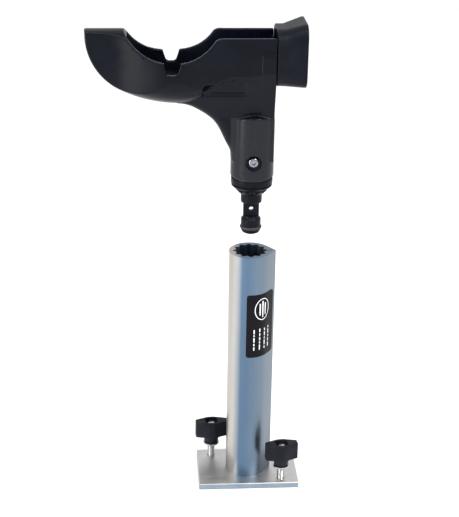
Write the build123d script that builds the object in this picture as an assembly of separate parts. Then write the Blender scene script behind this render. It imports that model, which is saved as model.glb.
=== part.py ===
from build123d import *
from math import acos, atan, cos, degrees, radians, sin, sqrt, tan
import os

# Rod holder on a track-mount riser. Millimetres, +Z up along the riser's axis, +X from the riser
# towards the locking collar, origin under the base plate on the riser's axis. The holder is drawn
# lifted out of the riser: it drops by LIFT to sit on the rim.

os.makedirs("parts", exist_ok=True)

# Riser stand
PLATE_W, PLATE_D, PLATE_T = 106.0, 70.0, 6.5
PLATE_X = 1.5
RISER_TOP = 260.5
RISER_FOOT = 2.5
RISER_R = 21.3
KEEL_X = 26.5
KEEL_TIP_R = 1.2
WELD_W, WELD_T = 2.0, 2.0
BORE_R = 14.6
FLUTES = 12
FLUTE_PITCH_R = 14.4
FLUTE_R = 2.6
LABEL_X0, LABEL_X1, LABEL_Z0, LABEL_Z1 = -4.0, 24.2, 149.5, 220.0
LABEL_CORNER, LABEL_T = 3.0, 0.25
SLIT_END_X = 22.5
SLIT_W = 1.0

# Hold-down sets, one at each end of the plate's diagonal
BOLT_X, BOLT_Y = 36.0, 25.0
STUD_R = 3.9
HEAD_L, HEAD_W, HEAD_T = 22.0, 12.5, 3.4
STUD_TOP = 47.5
WASHER_R, WASHER_T = 8.5, 1.5
KNOB_FOOT = 23.5
HUB_R, HUB_FOOT_R = 9.5, 7.2
HUB_DROP = 8.0
WING_L, WING_W, WING_TIP_W, WING_H = 34.6, 17.0, 8.0, 18.0

# Index post
SEAT_Z = 330.0
LIFT = SEAT_Z - RISER_TOP
FLANGE_R, FLANGE_T = 20.6, 10.0
CROWN_Z = 323.5
LUG_PITCH_R, LUG_R = 14.2, 2.25
SHANK_R, SHANK_TOP = 12.0, 386.0
COLLAR_R, COLLAR_Z = 10.5, 314.0
SHAFT_R, SHAFT_Z = 8.0, 298.0
FOOT_R, FOOT_Z = 9.9, 280.5
COTTER_Z, COTTER_R = 306.2, 2.2
FLAT_Y = 2.6
RING_GROOVE_Z, RING_GROOVE_H = 287.0, 3.6
SEAT_RING_T = 1.5

# Socket and cross screw
SOCKET_R = 21.3
SOCKET_Z = SEAT_Z + FLANGE_T + SEAT_RING_T
SOCKET_TOP = 405.0
SHOULDER_R = 40.0
SCREW_Z = 359.2
SCREW_R, SCREW_HEAD_R = 3.0, 5.4
POCKET_R, POCKET_Y = 7.8, 15.5
NUT_AF, NUT_T = 10.0, 5.0

# Rod trough: a U section carried along a centre line made of a straight run and three arcs
ROD_Z = 461.5
HEAD_X = 19.5
BEND_X = -30.0
S_BEND_X = -18.0
DIP_X, DIP_Z = -71.6, 441.9
SWEEP_R, SWEEP_TURN = 102.0, 26.0
BEAK_R, BEAK_TOP = 31.5, 486.5
WALL = 4.2
RAIL_TOP = 20.5
RAIL_HALF, TROUGH_HALF, TROUGH_DEPTH = 24.0, 30.5, 26.0
BEAK_X, BEAK_HALF = -161.5, 8.5
CRADLE_X, CRADLE_Z, CRADLE_R = -82.0, 505.5, 45.5
CRADLE_CORNER_R = 8.0
ARCH_R = 23.0
NOTCH_X, NOTCH_W, NOTCH_FLOOR, NOTCH_Z = -78.5, 15.5, 9.0, 449.0
ROOF_T = 6.0

# Web between trough and socket
WEB_HALF, WEB_FOOT, WEB_ROUND = 13.5, 358.5, 8.0
WEB_KNEE, WEB_TOP, WEB_TOP_HALF = 412.0, 448.0, 24.3
SPINE_X, PANEL_Z = 6.0, 432.5
KEEL_Z = DIP_Z - 26.0

# Locking collar on the neck in front of the trough
COLLAR_BACK, COLLAR_FRONT = 19.9, 48.0
FLARE_X, LIP_X = 28.0, 45.5
RING_R, FLARE_Y, FLARE_Z, FLARE_RISE = 27.2, 28.2, 30.2, 2.6
SLOT_REST = -35.0
MOUTH_R = 26.0
NECK_R, NECK_END = 23.0, 43.0
CLIP_X, CLIP_T, CLIP_R = 39.0, 1.8, 24.6
SLOT_W = 34.0


def box(x0, x1, y0, y1, z0, z1):
    """A box between two corners."""
    return Pos((x0 + x1) / 2, (y0 + y1) / 2, (z0 + z1) / 2) * Box(x1 - x0, y1 - y0, z1 - z0)


def post(radius, z0, z1, x=0.0, y=0.0):
    """A cylinder standing along Z."""
    return Pos(x, y, (z0 + z1) / 2) * Cylinder(radius, z1 - z0)


def along_y(radius, y0, y1, x, z):
    """A cylinder lying along Y."""
    return Pos(x, (y0 + y1) / 2, z) * Rot(90, 0, 0) * Cylinder(radius, y1 - y0)


def along_x(radius, x0, x1, z=ROD_Z):
    """A cylinder lying along X on the rod's axis."""
    return Pos((x0 + x1) / 2, 0, z) * Rot(0, 90, 0) * Cylinder(radius, x1 - x0)


def spun(points, axis=Axis.Z):
    """Turns an outline of (radius, height) points about the Z axis."""
    wire = Polyline(*[(r, 0, z) for r, z in points], close=True)
    return revolve(make_face(wire), axis)


def keel_outline(gap=0.0):
    """Round tube with two flats that meet in a keel towards +X."""
    r = RISER_R + gap
    tip = KEEL_X + gap
    touch = acos(r / tip)
    tx, ty = r * cos(touch), r * sin(touch)
    flats = make_face(Polyline((0, 0), (tx, ty), (tip, 0), (tx, -ty), close=True))
    return (Circle(r).face() + flats).face()


def crown(core_r, pitch_r, lobe_r, z0, z1):
    """Round core with a lobe at each of the twelve index positions."""
    solid = post(core_r, z0, z1)
    for i in range(FLUTES):
        a = radians(360 * i / FLUTES)
        solid += post(lobe_r, z0, z1, pitch_r * cos(a), pitch_r * sin(a))
    return solid


# ---------------------------------------------------------------- riser stand

def build_riser():
    solid = Pos(0, 0, RISER_FOOT) * extrude(keel_outline(), RISER_TOP - RISER_FOOT)
    keel_edge = solid.edges().filter_by(Axis.Z).sort_by(Axis.X)[-1]
    solid = fillet(keel_edge, KEEL_TIP_R)
    solid -= crown(BORE_R, FLUTE_PITCH_R, FLUTE_R, RISER_FOOT - 1, RISER_TOP + 1)
    solid -= box(BORE_R - 1, SLIT_END_X, -SLIT_W / 2, SLIT_W / 2, RISER_FOOT - 1, RISER_TOP + 1)
    return solid


def build_plate():
    solid = box(PLATE_X - PLATE_W / 2, PLATE_X + PLATE_W / 2, -PLATE_D / 2, PLATE_D / 2, 0, PLATE_T)
    solid = fillet(solid.edges().filter_by(Axis.Z), 1.6)
    solid = chamfer(solid.faces().sort_by(Axis.Z)[-1].edges(), 0.5)
    solid -= Pos(0, 0, RISER_FOOT) * extrude(keel_outline(), PLATE_T)
    solid -= Pos(0, 0, PLATE_T - WELD_T) * extrude(keel_outline(WELD_W), WELD_T + 1)
    for side in (-1, 1):
        x, y = side * BOLT_X, -side * BOLT_Y
        solid -= post(STUD_R + 0.3, -1, PLATE_T + 1, x, y)
        solid -= Pos(x, y, HEAD_T / 2) * Box(HEAD_L + 0.6, HEAD_W + 0.6, HEAD_T + 0.001)
    return solid


def build_weld():
    """Weld that fills the groove round the riser's foot, ground flush with the plate."""
    ring = extrude(keel_outline(WELD_W), WELD_T) - extrude(keel_outline(), WELD_T)
    return Pos(0, 0, PLATE_T - WELD_T) * ring


def build_label():
    """Thin decal that wraps the front of the riser and part of the keel's flat."""
    sleeve = extrude(keel_outline(LABEL_T), RISER_TOP) - extrude(keel_outline(), RISER_TOP)
    window = box(LABEL_X0, LABEL_X1, -40, 0, LABEL_Z0, LABEL_Z1)
    return sleeve & fillet(window.edges().filter_by(Axis.Y), LABEL_CORNER)


riser_tube = build_riser()
base_plate = build_plate()
base_weld = build_weld()
tube_label = build_label()


# ---------------------------------------------------------------- hold-down sets

def build_bolt(x, y):
    """Rectangular head that rides in a track, with a stud up through the plate."""
    head = Pos(x, y, HEAD_T / 2 - 0.05) * Box(HEAD_L, HEAD_W, HEAD_T - 0.1)
    stud = chamfer(post(STUD_R, 1, STUD_TOP, x, y).edges(), 0.6)
    return head + stud


def build_washer(x, y):
    ring = post(WASHER_R, KNOB_FOOT - WASHER_T, KNOB_FOOT, x, y)
    return ring - post(STUD_R + 0.3, 0, 100, x, y)


def knob_plan():
    """Bow shape: full width at the hub, narrower at both wing tips."""
    half, mid, tip = WING_L / 2, WING_W / 2, WING_TIP_W / 2
    pts = [(-half, -tip), (-3, -mid), (3, -mid), (half, -tip), (half, tip), (3, mid), (-3, mid), (-half, tip)]
    return make_face(Polyline(*pts, close=True))


def build_knob(x, y, turn):
    wing_z = KNOB_FOOT + HUB_DROP
    wings = extrude(knob_plan(), WING_H)
    wings = fillet(wings.edges().filter_by(Axis.Z), 2.0)
    wings = fillet(wings.faces().sort_by(Axis.Z)[-1].edges(), 1.0)
    hub = Pos(0, 0, -HUB_DROP / 2) * Cone(HUB_FOOT_R, HUB_R - 0.8, HUB_DROP)
    recess = Pos(0, 0, WING_H) * Box(13, 10, 8)
    bore = post(STUD_R + 1.8, -HUB_DROP, WING_H)
    return Pos(x, y, wing_z) * Rot(0, 0, turn) * (wings + hub - recess - bore)


def build_insert(x, y):
    """Brass-style threaded bush moulded into the knob, running on the stud."""
    z0 = KNOB_FOOT
    z1 = KNOB_FOOT + WING_H
    return post(STUD_R + 1.8, z0, z1, x, y) - post(STUD_R + 0.05, z0 - 1, z1 + 1, x, y)


hold_downs = {}
for name, side, turn in (("left", -1, 5), ("right", 1, 7)):
    bx, by = side * BOLT_X, -side * BOLT_Y
    hold_downs[f"{name}_t_bolt"] = build_bolt(bx, by)
    hold_downs[f"{name}_washer"] = build_washer(bx, by)
    hold_downs[f"{name}_knob"] = build_knob(bx, by, turn)
    hold_downs[f"{name}_insert"] = build_insert(bx, by)


# ---------------------------------------------------------------- index post

def build_post():
    profile = [
        (0, FOOT_Z), (FOOT_R - 4, FOOT_Z), (FOOT_R - 1.2, FOOT_Z + 1.4), (FOOT_R, FOOT_Z + 4),
        (FOOT_R, SHAFT_Z - 2), (SHAFT_R, SHAFT_Z), (SHAFT_R, COLLAR_Z - 1.5), (COLLAR_R, COLLAR_Z),
        (COLLAR_R, CROWN_Z), (11.5, CROWN_Z), (11.5, SEAT_Z), (FLANGE_R - 2.2, SEAT_Z),
        (FLANGE_R - 0.4, SEAT_Z + 1.6), (FLANGE_R - 0.4, SEAT_Z + 3.0), (FLANGE_R - 1.6, SEAT_Z + 3.0),
        (FLANGE_R - 1.6, SEAT_Z + 4.2), (FLANGE_R, SEAT_Z + 4.2), (FLANGE_R, SEAT_Z + FLANGE_T), (SHANK_R, SEAT_Z + FLANGE_T), (SHANK_R, SHANK_TOP - 1.5),
        (SHANK_R - 1.5, SHANK_TOP), (0, SHANK_TOP),
    ]
    solid = spun(profile)
    lugs = crown(LUG_PITCH_R, LUG_PITCH_R, LUG_R, CROWN_Z, SEAT_Z + 0.5)
    lugs &= spun([(0, CROWN_Z), (LUG_PITCH_R - 1.7, CROWN_Z), (LUG_PITCH_R + 3, CROWN_Z + 5),
                  (LUG_PITCH_R + 3, SEAT_Z + 1), (0, SEAT_Z + 1)])
    solid += lugs
    groove = post(FOOT_R + 1, RING_GROOVE_Z - RING_GROOVE_H / 2, RING_GROOVE_Z + RING_GROOVE_H / 2)
    groove -= post(FOOT_R - 2.4, 0, 400)
    solid -= groove
    for side in (-1, 1):
        solid -= Pos(0, side * (FLAT_Y + 10), (SHAFT_Z + COLLAR_Z) / 2) * Box(40, 20, COLLAR_Z - SHAFT_Z - 3)
    solid -= along_y(COTTER_R, -20, 20, 0, COTTER_Z)
    solid -= along_y(SCREW_R, -20, 20, 0, SCREW_Z)
    return solid


def build_o_ring():
    minor = 1.7
    return Pos(0, 0, RING_GROOVE_Z) * Torus(FOOT_R - 2.4 + minor, minor)


index_post = build_post()
post_o_ring = build_o_ring()
seat_ring = post(19.4, SEAT_Z + FLANGE_T, SOCKET_Z) - post(SHANK_R, 0, 500)


# ---------------------------------------------------------------- holder body

def u_section(inset, top):
    """U outline facing +X: half ellipse below the rod's axis, straight sides above it."""
    w, d = TROUGH_HALF - inset, TROUGH_DEPTH - inset
    bottom = EllipticalCenterArc((0, 0), w, d, 180, arc_size=180)
    sides = Polyline((w, 0), (w, top), (-w, top), (-w, 0))
    return Plane.YZ * make_face([bottom.edge(), *sides.edges()])


def plan_outline(inset):
    """Seen from above: parallel along the rail, widest at the cradle, narrow at the beak."""
    w, tip = RAIL_HALF - inset, BEAK_HALF - inset
    side = Spline(
        (BEND_X + 8, w), (CRADLE_X, TROUGH_HALF - inset), (BEAK_X + 42, 17 - inset), (BEAK_X - 1, tip),
        tangents=((-1, 0), (-1, -0.05)))
    rail = Line((HEAD_X + 5, w), (BEND_X + 8, w))
    half = Polyline((BEAK_X - 1, tip), (BEAK_X - 1, 0), (HEAD_X + 5, 0), (HEAD_X + 5, w))
    face = make_face([side.edge(), rail.edge(), *half.edges()])
    return Pos(0, 0, 400) * extrude((face + mirror(face, Plane.XZ)).face(), 120)


def trough(inset, top):
    """Straight rail, an S bend down into the cradle, a long sweep back, then a tight turn up to the beak."""
    section = u_section(inset, top)
    tall = u_section(inset, top + 14)
    level = box(-200, 60, -40, 40, 380, ROD_Z + top)
    solid = Pos(S_BEND_X, 0, ROD_Z) * extrude(section, HEAD_X - S_BEND_X)
    x, z, heading = S_BEND_X, ROD_Z, 0.0
    drop, run = ROD_Z - DIP_Z, S_BEND_X - DIP_X
    half = degrees(atan(drop / run))
    r = run / (2 * sin(radians(2 * half)))
    for radius, turn in ((r, 2 * half), (r, -2 * half), (SWEEP_R, -SWEEP_TURN), (BEAK_R, SWEEP_TURN - 90)):
        side = -1 if turn > 0 else 1
        cx = x - side * radius * sin(radians(heading))
        cz = z + side * radius * cos(radians(heading))
        piece = Pos(x, 0, z) * Rot(0, -heading, 0) * (tall if turn > 0 else section)
        bend = revolve(piece, Axis((cx, 0, cz), (0, side, 0)), abs(turn))
        solid += bend & level if turn > 0 else bend
        heading += turn
        x = cx + side * radius * sin(radians(heading))
        z = cz - side * radius * cos(radians(heading))
    tip = Pos(x, 0, z) * Rot(0, -heading, 0) * section
    solid += extrude(tip, -(BEAK_TOP - z))
    return solid & plan_outline(inset)


def web_profile(extra=0.0):
    """Seen along X: thin beside the socket, then sloping out to the rail's side."""
    right = [(WEB_HALF, 340), (WEB_HALF, WEB_KNEE - 8), (WEB_HALF + 1, WEB_KNEE), (WEB_TOP_HALF, WEB_TOP),
             (WEB_TOP_HALF, 470)]
    left = [(-y, z) for y, z in reversed(right)]
    return offset(Plane.YZ * make_face(Polyline(*right, *left, close=True)), extra, kind=Kind.INTERSECTION)


def build_web():
    """Gusset from the cradle's underside to the socket, with a raised spine along its front."""
    under = Spline((DIP_X - 2, KEEL_Z + 1.2), (-52, KEEL_Z - 6.4), (-37, 397), (-26.5, 377), (-SOCKET_R, WEB_FOOT),
                   tangents=((1, 0), (0, -1)))
    rest = Polyline((-SOCKET_R, WEB_FOOT), (HEAD_X, WEB_FOOT), (HEAD_X, ROD_Z - 8),
                    (DIP_X - 2, KEEL_Z + 12), (DIP_X - 2, KEEL_Z + 1.2))
    web = extrude(make_face(Plane.XZ * Curve([under.edge(), *rest.edges()])), 40, both=True)
    web &= Pos(-120, 0, 0) * extrude(web_profile(), 160)
    arc = [e for e in web.edges() if e.center().X < -22 and e.center().Z < KEEL_Z and abs(e.center().Y) > 5]
    web = fillet(arc, WEB_ROUND)
    spine = Pos(SPINE_X, 0, 0) * extrude(web_profile(0.8), HEAD_X - SPINE_X)
    return web + (spine & box(0, 60, -40, 40, WEB_FOOT, ROD_Z + 6))


def side_panels():
    """The two-step recess pressed into each flank, square to the sloping face."""
    slope = degrees(atan((WEB_TOP_HALF - WEB_HALF - 1) / (WEB_TOP - WEB_KNEE)))
    y = WEB_HALF + 1 + (PANEL_Z - WEB_KNEE) * tan(radians(slope))
    tool = None
    for x0, x1, half, depth in ((-50, -7, 7.2, 0.9), (-43, -9, 4.4, 1.9)):
        step = box(x0, x1, -depth, 14, -half, half)
        step = fillet(step.edges().filter_by(Axis.Y), 3.2)
        tool = step if tool is None else tool + step
    tool = Pos(0, y, PANEL_Z) * Rot(-slope, 0, 0) * tool
    return tool + mirror(tool, Plane.XZ)


def build_neck():
    """Round neck in front of the trough that carries the collar, with a groove for its clip."""
    neck = along_x(NECK_R, HEAD_X - 1, NECK_END)
    return neck - (along_x(NECK_R + 1, CLIP_X, CLIP_X + CLIP_T) - along_x(NECK_R - 1.2, 0, 60))


def build_body():
    outer = trough(0.0, RAIL_TOP) - along_y(CRADLE_R, -40, 40, CRADLE_X, CRADLE_Z)
    outer -= along_y(CRADLE_R - 3, -40, 40, CRADLE_X + 8, CRADLE_Z - 3)
    level = outer.edges().filter_by(Axis.Y).filter_by_position(Axis.Z, ROD_Z + RAIL_TOP - 0.1, ROD_Z + RAIL_TOP + 0.1)
    corner = [e for e in level if -45 < e.center().X < -28]
    outer = fillet(corner, CRADLE_CORNER_R)
    arch_z = BEAK_TOP - ARCH_R
    arch = box(-200, -100, -40, 40, arch_z, 600) - along_x(ARCH_R, -201, -99, arch_z)
    solid = outer - arch + build_web() + build_neck()
    socket = post(SOCKET_R, SOCKET_Z, SOCKET_TOP)
    solid += socket & along_y(SHOULDER_R, -30, 30, 0, SOCKET_TOP - SHOULDER_R)
    roof = box(-200, CRADLE_X, -40, 40, BEAK_TOP - ROOF_T, 600)
    solid -= trough(WALL, RAIL_TOP + 1.0) - roof
    solid -= along_x(RAIL_HALF - WALL, HEAD_X - 1, NECK_END + 1)
    solid -= box(HEAD_X - 2, NECK_END + 1, -SLOT_W / 2, SLOT_W / 2, ROD_Z, ROD_Z + 40)
    wall, floor = NOTCH_W / 2, NOTCH_FLOOR / 2
    notch = Pos(NOTCH_X, 0, NOTCH_Z) * extrude(Plane.XZ * make_face(Polyline(
        (-floor, 0), (floor, 0), (wall, 10), (wall, 20), (-wall, 20), (-wall, 10), close=True)), 50, both=True)
    solid -= fillet(notch.edges().filter_by(Axis.Y).sort_by(Axis.Z)[:2], 3.5)
    solid -= side_panels()
    solid -= post(SHANK_R + 0.02, SOCKET_Z - 1, SHANK_TOP + 0.5)
    solid -= along_y(SCREW_R + 0.2, -40, 40, 0, SCREW_Z)
    solid -= along_y(POCKET_R, -40, -POCKET_Y, 0, SCREW_Z)
    solid -= along_y(POCKET_R, POCKET_Y, 40, 0, SCREW_Z)
    return solid


def build_screw():
    """Button-head screw with a hexagon socket, put in from the -Y side."""
    head = along_y(SCREW_HEAD_R, -POCKET_Y - 3.3, -POCKET_Y, 0, SCREW_Z)
    head = fillet(head.faces().sort_by(Axis.Y)[0].edges(), 2.4)
    key = Plane.XZ * RegularPolygon(2.0, 6, major_radius=False)
    head -= Pos(0, -POCKET_Y - 1.3, SCREW_Z) * extrude(key, 4)
    shank = along_y(SCREW_R, -POCKET_Y, POCKET_Y + NUT_T + 1.0, 0, SCREW_Z)
    return head + shank


def build_nut():
    hexagon = Plane.XZ * RegularPolygon(NUT_AF / 2, 6, major_radius=False)
    body = Pos(0, POCKET_Y + NUT_T, SCREW_Z) * extrude(hexagon, NUT_T)
    return body - along_y(SCREW_R, 0, 40, 0, SCREW_Z)


def build_collar():
    """Squared ring whose top and bottom flare towards the mouth, slotted so a rod can pass out."""
    back = Plane(origin=(COLLAR_BACK, 0, ROD_Z), x_dir=(0, 1, 0), z_dir=(1, 0, 0))
    start = back * RectangleRounded(2 * RING_R, 2 * RING_R, 17.0)
    waist = back.offset(FLARE_X - COLLAR_BACK) * RectangleRounded(2 * RING_R, 2 * RING_R, 16.0)
    lip = back.offset(LIP_X - COLLAR_BACK) * Pos(0, FLARE_RISE) * RectangleRounded(2 * FLARE_Y, 2 * FLARE_Z, 12.0)
    solid = loft([start, waist]) + loft([waist, lip]) + extrude(lip, COLLAR_FRONT - LIP_X)
    solid -= along_x(NECK_R + 0.05, COLLAR_BACK - 1, CLIP_X - 0.3)
    solid -= along_x(CLIP_R + 0.4, CLIP_X - 0.3, COLLAR_FRONT + 1)
    solid -= Pos(COLLAR_FRONT - 2, 0, ROD_Z) * Rot(0, 90, 0) * Cone(CLIP_R + 0.4, MOUTH_R, 5)
    slot = box(0, 80, 0, 60, -SLOT_W / 2, SLOT_W / 2)
    return solid - Pos(0, 0, ROD_Z) * Rot(SLOT_REST, 0, 0) * slot


def build_clip():
    """Open spring clip in the neck's groove, gap upwards in line with the rod slot."""
    clip = along_x(CLIP_R, CLIP_X + 0.1, CLIP_X + CLIP_T - 0.1) - along_x(NECK_R - 1.2, 0, 60)
    return clip - box(0, 80, -SLOT_W / 2, SLOT_W / 2, ROD_Z, ROD_Z + 60)


holder_body = build_body()
cross_screw = build_screw()
cross_nut = build_nut()
locking_collar = build_collar()
collar_clip = build_clip()

parts = {
    "riser_tube": riser_tube, "base_plate": base_plate, "base_weld": base_weld, "tube_label": tube_label,
    **hold_downs,
    "index_post": index_post, "post_o_ring": post_o_ring, "seat_ring": seat_ring,
    "holder_body": holder_body, "cross_screw": cross_screw, "cross_nut": cross_nut,
    "locking_collar": locking_collar, "collar_clip": collar_clip,
}
for name, shape in parts.items():
    solids = shape.solids()
    print(name, len(solids), round(shape.volume, 1), shape.is_valid)
    export_step(solids[0], f"parts/{name}.step")
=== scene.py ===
import math

import bmesh
import bpy
from mathutils import Matrix, Vector


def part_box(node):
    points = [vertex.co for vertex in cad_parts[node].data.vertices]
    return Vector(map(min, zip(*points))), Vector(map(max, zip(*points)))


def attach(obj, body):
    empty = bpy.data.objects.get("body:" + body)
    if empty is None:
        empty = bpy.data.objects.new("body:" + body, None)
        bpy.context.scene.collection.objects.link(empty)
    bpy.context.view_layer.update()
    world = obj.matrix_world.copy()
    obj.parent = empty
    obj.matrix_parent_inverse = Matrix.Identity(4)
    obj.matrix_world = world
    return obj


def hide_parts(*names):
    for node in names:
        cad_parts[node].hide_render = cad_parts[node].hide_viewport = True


# Sizes are in millimetres where nothing else is said
MM = 0.001

# Camera, in metres and degrees, for an image 459 x 517. The yaw is a compromise: the photograph shows the
# holder turned a few degrees against the stand, and the model keeps the two square to each other.
CAMERA_AT = Vector((-0.1028, -1.1741, 0.7548))
YAW, PITCH, ROLL = 4.0, 23.14, 0.90
FOCAL_PX, IMAGE_H, SENSOR = 1265.9, 517, 36.0

# Riser outline, as in the CAD: a circle, and a keel at +X with flat flanks that touch the circle
RISER_R, KEEL_X = 21.3, 26.5

# Painted reflections on the riser, in bands of beige, blue and grey: where one band gives way to the next
# along X, and over what width
BEIGE_REFLECTION_END, BEIGE_REFLECTION_BLEND = -12.5, 7.0
GREY_REFLECTION_START, GREY_REFLECTION_BLEND = 10.0, 26.0

# The plate's edges carry a painted darker, bluish reflection, which ends just under the plate's top face
PLATE_EDGE_TOP, PLATE_EDGE_BLEND = 6.0, 0.4

# The holder's socket has a grainier skin than its trough, and its lighter grey is painted sheen: below this
# height and to the right of this place
SLEEVE_TOP, SLEEVE_LEFT = 403.5, -22.4

# T-bolt: its head's top above the ground and bevelled edges, the stud, the thread that is drawn here and
# not in the CAD, and how far the stud's tip tapers in over what height
HEAD_TOP, HEAD_BEVEL = 3.4, 0.5
STUD_R, THREAD_DEPTH, THREAD_PITCH = 3.9, 0.62, 25.4 / 18
TIP_H, TIP_TAPER = 0.9, 0.7

# Label print: height over the riser's own skin, thickness, and the widest flat piece of a bar
PRINT_PROUD, PRINT_T, PRINT_STEP = 0.30, 0.05, 1.2
# Oval: its centre under the label's top, half its width and height, and its line's width
OVAL_BELOW_TOP, OVAL_HALF_W, OVAL_HALF_H, OVAL_LINE = 17, 9.5, 12.0, 0.8
# Each bar in the oval: its place across the label, and half its height
OVAL_BARS = ((-3.4, 6.5), (0.0, 9.0), (3.4, 6.5))
BAR_HALF_W, DASH_HALF_W = 0.7, 0.6
# Rows of dashes: the first one left of the label's middle, the next ones, and their foot over the label's
FIRST_ROW, ROW_STEP, DASH_FOOT = 9.6, 6.4, 8
DASH_GAP, DASH_STRETCH = 1.3, 1.2
# Lengths of the dashes in each row, from the foot of the label up, before they are stretched
DASH_ROWS = (
    (3.2, 2.2, 4.4, 1.6, 3.8),
    (5.0, 1.8, 3.0, 2.6, 3.4),
    (2.4, 4.6, 2.0, 3.6, 2.6),
    (4.0, 3.0, 2.2, 4.2, 2.0),
)

# Half the width of the floor, in metres
FLOOR_HALF = 14.0


# ------------------------------------------------------------------ materials

class Shader:
    """A material with one Principled shader, and short ways to add texture nodes to it."""

    def __init__(self, name, base, rough, metal=0.0, **sockets):
        self.mat = bpy.data.materials.new(name)
        self.mat.use_nodes = True
        self.tree = self.mat.node_tree
        self.bsdf = self.tree.nodes["Principled BSDF"]
        self.set("Base Color", (*base, 1.0))
        self.set("Roughness", rough)
        self.set("Metallic", metal)
        for key, value in sockets.items():
            self.set(key.replace("_", " "), value)
        self.coords = self.node("ShaderNodeTexCoord").outputs["Object"]

    def set(self, socket, value):
        self.bsdf.inputs[socket].default_value = value

    def node(self, kind, **values):
        made = self.tree.nodes.new(kind)
        for key, value in values.items():
            setattr(made, key, value)
        return made

    def link(self, a, b):
        self.tree.links.new(a, b)

    def stretched(self, scale):
        mapping = self.node("ShaderNodeMapping")
        mapping.inputs["Scale"].default_value = scale
        self.link(self.coords, mapping.inputs["Vector"])
        return mapping.outputs["Vector"]

    def noise(self, scale, detail, rough, stretch=(1, 1, 1)):
        texture = self.node("ShaderNodeTexNoise")
        texture.inputs["Scale"].default_value = scale
        texture.inputs["Detail"].default_value = detail
        texture.inputs["Roughness"].default_value = rough
        self.link(self.stretched(stretch), texture.inputs["Vector"])
        return texture.outputs["Fac"]

    def ramp(self, fac, low, high, a=0.35, b=0.65):
        """Fac mapped from a..b to low..high."""
        mapped = self.node("ShaderNodeMapRange")
        mapped.inputs["From Min"].default_value = a
        mapped.inputs["From Max"].default_value = b
        mapped.inputs["To Min"].default_value = low
        mapped.inputs["To Max"].default_value = high
        self.link(fac, mapped.inputs["Value"])
        return mapped.outputs["Result"]

    def step(self, axis, at_mm, low, high, over_mm=1.0):
        """Goes from low to high as the object's coordinate passes a place."""
        split = self.node("ShaderNodeSeparateXYZ")
        self.link(self.coords, split.inputs["Vector"])
        start = (at_mm - over_mm / 2) * MM
        end = (at_mm + over_mm / 2) * MM
        return self.ramp(split.outputs[axis], low, high, start, end)

    def tint(self, fac, low, high, a=0.35, b=0.65):
        """A colour that runs between two colours as fac goes from a to b."""
        mix = self.node("ShaderNodeMix", data_type="RGBA")
        mix.inputs["A"].default_value = (*low, 1.0)
        mix.inputs["B"].default_value = (*high, 1.0)
        self.link(self.ramp(fac, 0.0, 1.0, a, b), mix.inputs["Factor"])
        return mix.outputs["Result"]

    def blend(self, fac, first, second):
        """First colour where fac is 0, second where it is 1."""
        mix = self.node("ShaderNodeMix", data_type="RGBA")
        self.link(first, mix.inputs["A"])
        self.link(second, mix.inputs["B"])
        self.link(fac, mix.inputs["Factor"])
        return mix.outputs["Result"]

    def times(self, a, b):
        product = self.node("ShaderNodeMath", operation="MULTIPLY")
        self.link(a, product.inputs[0])
        self.link(b, product.inputs[1])
        return product.outputs["Value"]

    def paint(self, colour):
        self.link(colour, self.bsdf.inputs["Base Color"])

    def rough(self, fac, low, high):
        self.link(self.ramp(fac, low, high), self.bsdf.inputs["Roughness"])

    def bump(self, fac, height_mm):
        """Relief of this height, on top of any relief that is there already."""
        relief = self.node("ShaderNodeBump")
        relief.inputs["Strength"].default_value = 1.0
        relief.inputs["Distance"].default_value = height_mm * MM
        self.link(fac, relief.inputs["Height"])
        normal = self.bsdf.inputs["Normal"]
        if normal.is_linked:
            self.link(normal.links[0].from_socket, relief.inputs["Normal"])
        self.link(relief.outputs["Normal"], normal)


def anodised_with_painted_reflections(name, left, middle, right, rough):
    """Satin anodised extrusion: fine lines along Z, faint patches, and painted reflections in bands that go
    by place along X.
    """
    s = Shader(name, middle, rough, 1.0)
    lines = s.noise(900, 2.0, 0.6, (1, 1, 0.012))
    clouds = s.noise(22, 3.0, 0.55, (1, 1, 0.35))
    paler = tuple(min(1.0, c * 1.16) for c in middle)
    centre = s.tint(clouds, middle, paler, 0.3, 0.7)
    grey_reflection = s.tint(clouds, right, tuple(c * 1.1 for c in right), 0.3, 0.7)
    beige_reflection = s.tint(clouds, left, tuple(c * 0.9 for c in left), 0.3, 0.7)
    # Painted reflections: the blue middle turns grey towards +X and beige towards -X
    front = s.blend(s.step("X", GREY_REFLECTION_START, 0.0, 1.0, GREY_REFLECTION_BLEND), centre, grey_reflection)
    s.paint(s.blend(s.step("X", BEIGE_REFLECTION_END, 1.0, 0.0, BEIGE_REFLECTION_BLEND), front, beige_reflection))
    s.rough(lines, rough - 0.05, rough + 0.08)
    s.bump(lines, 0.010)
    return s.mat


def rolled_plate(name):
    """Plate stock with a fine random grain along X, and a painted darker, bluish reflection on its edges."""
    s = Shader(name, (0.56, 0.56, 0.56), 0.36, 1.0)
    grain = s.noise(700, 3.0, 0.6, (0.04, 1, 1))
    spots = s.noise(45, 4.0, 0.6)
    top = s.tint(spots, (0.50, 0.50, 0.50), (0.58, 0.57, 0.56))
    # Painted reflection: the edges below the top face are darker and bluish
    edge = s.tint(spots, (0.22, 0.27, 0.32), (0.27, 0.32, 0.37))
    s.paint(s.blend(s.step("Z", PLATE_EDGE_TOP, 1.0, 0.0, PLATE_EDGE_BLEND), top, edge))
    s.rough(grain, 0.32, 0.46)
    s.bump(grain, 0.012)
    return s.mat


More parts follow.
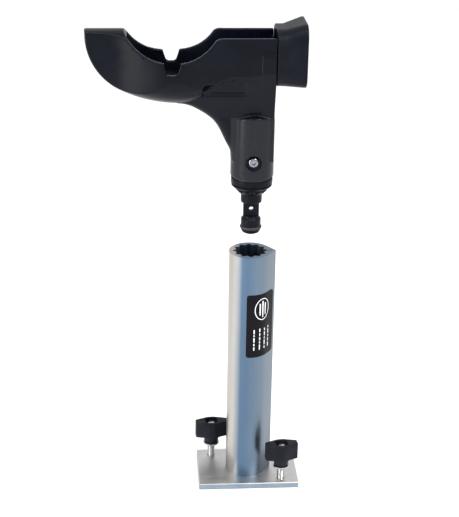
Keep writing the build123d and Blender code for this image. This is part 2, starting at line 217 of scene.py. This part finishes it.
def polished_plastic(name):
    """Black moulded nylon: even gloss with a very fine grain, duller patches, and a coarser socket whose
    lighter grey is painted sheen.
    """
    s = Shader(name, (0.002, 0.003, 0.007), 0.24, Specular_IOR_Level=0.13)
    grain = s.noise(1500, 2.0, 0.5)
    pits = s.noise(1700, 4.0, 0.6)
    patches = s.noise(28, 4.0, 0.6)
    skin = s.tint(patches, (0.0008, 0.0014, 0.004), (0.0022, 0.003, 0.007))
    # Painted sheen: the socket's grain is tinted lighter grey
    sleeve_grain_and_sheen = s.tint(pits, (0.003, 0.004, 0.007), (0.018, 0.019, 0.023))
    on_socket = s.times(s.step("Z", SLEEVE_TOP, 1.0, 0.0), s.step("X", SLEEVE_LEFT, 0.0, 1.0))
    s.paint(s.blend(on_socket, skin, sleeve_grain_and_sheen))
    s.rough(patches, 0.22, 0.34)
    s.bump(grain, 0.012)
    s.bump(s.times(on_socket, pits), 0.05)
    return s.mat


def grained_plastic(name, low, high, rough, grain_mm, depth_mm):
    """Spark-eroded mould texture: close pits with a satin sheen."""
    s = Shader(name, high, rough, Specular_IOR_Level=0.09)
    pits = s.noise(1000 / grain_mm, 4.0, 0.6)
    s.paint(s.tint(s.noise(40, 3.0, 0.6), low, high))
    s.rough(pits, rough - 0.06, rough + 0.08)
    s.bump(pits, depth_mm)
    return s.mat


def turned_metal(name, base, rough, across=(1, 1, 0.05)):
    """Bare metal with fine machining marks."""
    s = Shader(name, base, rough, 1.0)
    marks = s.noise(1200, 2.0, 0.6, across)
    s.rough(marks, rough - 0.06, rough + 0.1)
    s.bump(marks, 0.006)
    return s.mat


def rubber(name):
    s = Shader(name, (0.012, 0.012, 0.013), 0.62)
    s.bump(s.noise(900, 3.0, 0.6), 0.02)
    s.rough(s.noise(120, 3.0, 0.5), 0.52, 0.7)
    return s.mat


def label_film(name):
    """Black film with a faint unevenness from the skin under it."""
    s = Shader(name, (0.003, 0.003, 0.005), 0.38, Specular_IOR_Level=0.09)
    s.bump(s.noise(400, 3.0, 0.5), 0.01)
    s.rough(s.noise(60, 3.0, 0.5), 0.32, 0.46)
    return s.mat


def label_ink(name):
    s = Shader(name, (0.82, 0.83, 0.84), 0.5)
    s.rough(s.noise(300, 2.0, 0.5), 0.42, 0.6)
    return s.mat


# ------------------------------------------------------------------ meshes

def add(name, mesh, material, body, *nodes):
    """Puts a mesh in the scene, on its body, in place of the CAD nodes that it stands for."""
    obj = bpy.data.objects.new(name, mesh)
    bpy.context.scene.collection.objects.link(obj)
    mesh.materials.clear()
    mesh.materials.append(material)
    for face in mesh.polygons:
        face.use_smooth = True
    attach(obj, body)
    if nodes:
        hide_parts(*nodes)
    return obj


def softened(node, name, material, body, voxel_mm, passes):
    """A moulded version of a CAD node: even small faces, with every edge slightly rounded."""
    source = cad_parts[node]
    mesh = source.data.copy()
    bm = bmesh.new()
    bm.from_mesh(mesh)
    bmesh.ops.transform(bm, matrix=source.matrix_world, verts=bm.verts)
    bmesh.ops.remove_doubles(bm, verts=bm.verts, dist=1e-6)
    bm.to_mesh(mesh)
    bm.free()
    work = bpy.data.objects.new(name + "_work", mesh)
    bpy.context.scene.collection.objects.link(work)
    remesh = work.modifiers.new("remesh", "REMESH")
    remesh.mode = "VOXEL"
    remesh.voxel_size = voxel_mm * MM
    remesh.use_smooth_shade = True
    smooth = work.modifiers.new("smooth", "SMOOTH")
    smooth.factor = 0.5
    smooth.iterations = passes
    depsgraph = bpy.context.evaluated_depsgraph_get()
    result = bpy.data.meshes.new_from_object(work.evaluated_get(depsgraph))
    bpy.data.objects.remove(work)
    add(name, result, material, body, node)


def threaded_stud(name, node, material, body):
    """T-bolt: bevelled rectangular head and a stud with a real helical thread."""
    low, high = (Vector(c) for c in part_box(node))
    cx, cy = (low.x + high.x) / 2, (low.y + high.y) / 2
    head_top = HEAD_TOP * MM
    outer, depth, pitch = STUD_R * MM, THREAD_DEPTH * MM, THREAD_PITCH * MM
    around, per_turn = 40, 8
    length = high.z - head_top
    rows = int(length / pitch * per_turn)
    bm = bmesh.new()
    rings = []
    for i in range(rows + 1):
        z = head_top + length * i / rows
        end = min(1.0, (high.z - z) / (TIP_H * MM))
        ring = []
        for j in range(around):
            a = 2 * math.pi * j / around
            phase = (z / pitch - j / around) % 1.0
            r = outer - depth * abs(2 * phase - 1) - TIP_TAPER * MM * (1 - end)
            ring.append(bm.verts.new((cx + r * math.cos(a), cy + r * math.sin(a), z)))
        rings.append(ring)
    for below, above in zip(rings, rings[1:]):
        for j in range(around):
            k = (j + 1) % around
            bm.faces.new((below[j], below[k], above[k], above[j]))
    bm.faces.new(rings[-1])
    bm.faces.new(list(reversed(rings[0])))
    head = bmesh.ops.create_cube(bm, size=1.0)["verts"]
    size = Vector((high.x - low.x, high.y - low.y, head_top - low.z))
    bmesh.ops.scale(bm, vec=size, verts=head)
    bmesh.ops.translate(bm, vec=(cx, cy, (low.z + head_top) / 2), verts=head)
    edges = list({e for v in head for e in v.link_edges})
    bmesh.ops.bevel(bm, geom=edges, offset=HEAD_BEVEL * MM, segments=2, affect="EDGES")
    mesh = bpy.data.meshes.new(name)
    bm.to_mesh(mesh)
    bm.free()
    add(name, mesh, material, body, node)


# ------------------------------------------------------------------ label print

def print_point(x, z):
    """A point of the print on the front of the riser, where x is measured across the front."""
    r, keel = RISER_R + PRINT_PROUD, KEEL_X + PRINT_PROUD
    touch_x = r * r / keel
    if x < touch_x:
        y = -math.sqrt(r * r - x * x)
    else:
        touch_y = math.sqrt(r * r - touch_x * touch_x)
        y = -touch_y * (keel - x) / (keel - touch_x)
    return Vector((x, y, z)) * MM


def girth(x):
    """Distance along the skin from x = 0 to x."""
    touch_x = RISER_R * RISER_R / KEEL_X
    if x < touch_x:
        return RISER_R * math.asin(x / RISER_R)
    slope = math.sqrt(KEEL_X ** 2 - RISER_R ** 2) / RISER_R
    return RISER_R * math.asin(touch_x / RISER_R) + (x - touch_x) * math.hypot(1, 1 / slope)


def at_girth(s):
    """The x whose girth is s, by halving."""
    low, high = -RISER_R + 0.1, KEEL_X - 0.1
    for _ in range(40):
        middle = (low + high) / 2
        if girth(middle) < s:
            low = middle
        else:
            high = middle
    return (low + high) / 2


def print_bar(bm, s, half_w, z0, z1):
    """A printed upright bar that follows the skin."""
    s0, s1 = s - half_w, s + half_w
    steps = max(1, math.ceil((s1 - s0) / PRINT_STEP))
    columns = []
    for i in range(steps + 1):
        x = at_girth(s0 + (s1 - s0) * i / steps)
        columns.append([bm.verts.new(print_point(x, z)) for z in (z0, z1)])
    for a, b in zip(columns, columns[1:]):
        bm.faces.new((a[0], b[0], b[1], a[1]))


def print_oval(bm, s, z):
    """A printed oval outline."""
    count = 48
    pairs = []
    for i in range(count):
        a = 2 * math.pi * i / count
        pair = []
        for inset in (0.0, OVAL_LINE):
            x = at_girth(s + (OVAL_HALF_W - inset) * math.cos(a))
            pair.append(bm.verts.new(print_point(x, z + (OVAL_HALF_H - inset) * math.sin(a))))
        pairs.append(pair)
    for a, b in zip(pairs, pairs[1:] + pairs[:1]):
        bm.faces.new((a[0], b[0], b[1], a[1]))


def label_print(material):
    """Generic decal print: an oval with plain bars in it, and rows of dashes up the label."""
    low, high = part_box("tube_label")
    middle = (girth(low[0] / MM) + girth(high[0] / MM)) / 2
    oval_z = high[2] / MM - OVAL_BELOW_TOP
    bm = bmesh.new()
    print_oval(bm, middle, oval_z)
    for across, half_h in OVAL_BARS:
        print_bar(bm, middle + across, BAR_HALF_W, oval_z - half_h, oval_z + half_h)
    for row, lengths in enumerate(DASH_ROWS):
        s = middle - FIRST_ROW + row * ROW_STEP
        z = low[2] / MM + DASH_FOOT
        for length in lengths:
            tall = length * DASH_STRETCH
            print_bar(bm, s, DASH_HALF_W, z, z + tall)
            z += tall + DASH_GAP
    mesh = bpy.data.meshes.new("label_print")
    bm.to_mesh(mesh)
    bm.free()
    film = add("label_print", mesh, material, "stand").modifiers.new("film", "SOLIDIFY")
    film.thickness = PRINT_T * MM


# ------------------------------------------------------------------ camera, light, floor

def set_camera():
    yaw, pitch, roll = (math.radians(a) for a in (YAW, PITCH, ROLL))
    forward = Vector((math.sin(yaw) * math.cos(pitch), math.cos(yaw) * math.cos(pitch), -math.sin(pitch)))
    level = Vector((math.cos(yaw), -math.sin(yaw), 0.0))
    over = level.cross(forward)
    right = math.cos(roll) * level + math.sin(roll) * over
    up = -math.sin(roll) * level + math.cos(roll) * over
    data = bpy.data.cameras.new("camera")
    data.sensor_width = SENSOR
    data.lens = FOCAL_PX / IMAGE_H * SENSOR
    data.clip_start = 0.05
    data.clip_end = 50
    cam = bpy.data.objects.new("camera", data)
    turn = Matrix((right, up, -forward)).transposed()
    cam.matrix_world = Matrix.Translation(CAMERA_AT) @ turn.to_4x4()
    bpy.context.scene.collection.objects.link(cam)
    bpy.context.scene.camera = cam


def area_light(name, at, aim, size, power, colour):
    """A rectangular light, with its places and sizes in metres and its power in watts."""
    data = bpy.data.lights.new(name, "AREA")
    data.shape = "RECTANGLE"
    data.size, data.size_y = size
    data.energy = power
    data.color = colour
    light = bpy.data.objects.new(name, data)
    light.location = at
    light.rotation_euler = (Vector(aim) - Vector(at)).to_track_quat("-Z", "Y").to_euler()
    bpy.context.scene.collection.objects.link(light)


def set_studio():
    """A white surround and floor, with a key light, a side light and a cool one from above."""
    world = bpy.data.worlds.new("studio")
    world.use_nodes = True
    surround = world.node_tree.nodes["Background"]
    surround.inputs["Color"].default_value = (1, 1, 1, 1)
    surround.inputs["Strength"].default_value = 1.0
    bpy.context.scene.world = world
    area_light("key", at=(0.9, -1.1, 1.5), aim=(0, 0, 0.30), size=(0.30, 0.45), power=24,
               colour=(1.0, 0.99, 0.97))
    area_light("side", at=(-1.3, -0.75, 0.55), aim=(0, 0, 0.30), size=(0.25, 1.1), power=16,
               colour=(1.0, 0.97, 0.93))
    area_light("sky", at=(-0.25, -0.5, 1.7), aim=(-0.05, 0, 0.35), size=(0.5, 0.3), power=8,
               colour=(0.86, 0.93, 1.0))
    mesh = bpy.data.meshes.new("floor")
    s = FLOOR_HALF
    mesh.from_pydata([(-s, -s, 0), (s, -s, 0), (s, s, 0), (-s, s, 0)], [], [(0, 1, 2, 3)])
    floor = bpy.data.objects.new("floor", mesh)
    bpy.context.scene.collection.objects.link(floor)
    mesh.materials.append(Shader("floor_paint", (0.93, 0.93, 0.93), 0.9).mat)
    bpy.context.scene.view_settings.view_transform = "Standard"


# ------------------------------------------------------------------ the scene

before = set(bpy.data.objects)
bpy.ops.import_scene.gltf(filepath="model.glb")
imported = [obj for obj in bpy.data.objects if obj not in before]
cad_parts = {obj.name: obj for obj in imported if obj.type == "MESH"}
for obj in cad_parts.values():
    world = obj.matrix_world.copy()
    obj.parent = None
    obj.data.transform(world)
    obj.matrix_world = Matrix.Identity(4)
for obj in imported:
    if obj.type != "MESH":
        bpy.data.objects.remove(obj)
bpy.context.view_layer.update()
set_camera()
set_studio()

steel = turned_metal("stainless_steel", (0.40, 0.40, 0.41), 0.24)
chrome = turned_metal("chrome_screw", (0.22, 0.23, 0.26), 0.16, (1, 1, 1))
brass = turned_metal("brass", (0.72, 0.56, 0.30), 0.30)
black_rubber = rubber("ring_rubber")
gloss = polished_plastic("holder_plastic")
post_plastic = grained_plastic(
    "post_plastic", (0.0015, 0.002, 0.004), (0.004, 0.005, 0.008), 0.34, grain_mm=0.7, depth_mm=0.02)
collar_plastic = grained_plastic(
    "collar_plastic", (0.002, 0.003, 0.006), (0.005, 0.006, 0.010), 0.38, grain_mm=0.6, depth_mm=0.03)
knob_plastic = grained_plastic(
    "knob_plastic", (0.005, 0.006, 0.009), (0.011, 0.012, 0.016), 0.44, grain_mm=0.45, depth_mm=0.03)
# The riser's three colours are painted reflections, set along X: beige at the left, blue in the middle, grey
# at the right
riser_skin = anodised_with_painted_reflections(
    "riser_aluminium", left=(0.42, 0.405, 0.38), middle=(0.085, 0.135, 0.205), right=(0.17, 0.20, 0.23),
    rough=0.34)

# Nodes that are shown with their CAD shape, and what each is made of
plain = {
    "base_plate": rolled_plate("plate_aluminium"),
    "riser_tube": riser_skin,
    "base_weld": rolled_plate("weld_metal"),
    "tube_label": label_film("label_film"),
    "left_washer": steel,
    "right_washer": steel,
    "left_insert": brass,
    "right_insert": brass,
    "post_o_ring": black_rubber,
    "seat_ring": black_rubber,
    "cross_screw": chrome,
    "cross_nut": steel,
    "collar_clip": steel,
}
for node, material in plain.items():
    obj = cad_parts[node]
    for slot in obj.material_slots:
        slot.material = material

softened("holder_body", "holder_shell", gloss, "holder", voxel_mm=0.75, passes=6)
softened("index_post", "index_spigot", post_plastic, "holder", voxel_mm=0.5, passes=4)
softened("locking_collar", "collar_shell", collar_plastic, "collar", voxel_mm=0.55, passes=6)
for side in ("left", "right"):
    softened(f"{side}_knob", f"{side}_wing_knob", knob_plastic, f"{side}_turn", voxel_mm=0.35, passes=5)
    threaded_stud(f"{side}_stud", f"{side}_t_bolt", steel, f"{side}_bolt")
label_print(label_ink("label_ink"))
